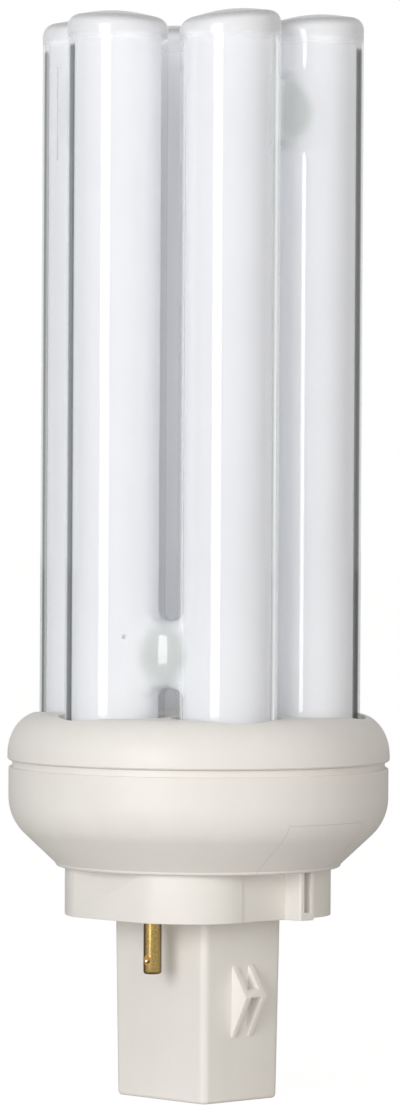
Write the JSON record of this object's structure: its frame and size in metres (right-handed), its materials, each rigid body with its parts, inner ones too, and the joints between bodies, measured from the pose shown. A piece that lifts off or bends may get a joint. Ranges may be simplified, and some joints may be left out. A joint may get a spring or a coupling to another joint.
{
  "type": "two pin compact fluorescent lamp",
  "caption": "Plug-in compact fluorescent lamp: a ring of fused glass legs on a domed collar, over a moulded cap with a post, key ribs, catch teeth and brass contact pins.",
  "frame": {"origin": "centre of the flat end of the cap's post, on the lamp's axis", "axes": "+Z along the lamp's axis from the post towards the tips of the glass legs; +X towards the face of the post with a catch tooth, beside a key rib; the contact pins lie towards -Y and +Y"},
  "size_m": [0.0488, 0.0488, 0.1378],
  "materials": {
    "coated_glass": "clear glass over a white phosphor coating, glossy",
    "cream_plastic": "moulded, fine satin, warm off-white",
    "brass": "drawn, bright",
    "white_cement": "cured cement, matt",
    "starter_glass": "clear glass bottle",
    "capacitor_resin": "dipped resin, glossy",
    "tinned_wire": "tinned",
    "sleeve_fibre": "woven glass fibre, off-white"
  },
  "bodies": {
    "root": {"discharge_tube": "coated_glass", "tube_collar": "cream_plastic", "cap_body": "cream_plastic", "contact_pin_1": "brass", "contact_pin_2": "brass", "starter_bulb": "starter_glass", "starter_capacitor": "capacitor_resin", "tube_cement_1": "white_cement", "tube_cement_2": "white_cement", "tube_cement_3": "white_cement", "tube_cement_4": "white_cement", "tube_cement_5": "white_cement", "tube_cement_6": "white_cement", "feed_wire_1": "tinned_wire", "starter_wire_1": "tinned_wire", "capacitor_lead_1": "tinned_wire", "crimp_sleeve_1": "tinned_wire", "wire_sleeve_1": "sleeve_fibre", "feed_wire_2": "tinned_wire", "starter_wire_2": "tinned_wire", "capacitor_lead_2": "tinned_wire", "crimp_sleeve_2": "tinned_wire", "wire_sleeve_2": "sleeve_fibre"}
  },
  "joints": []
}
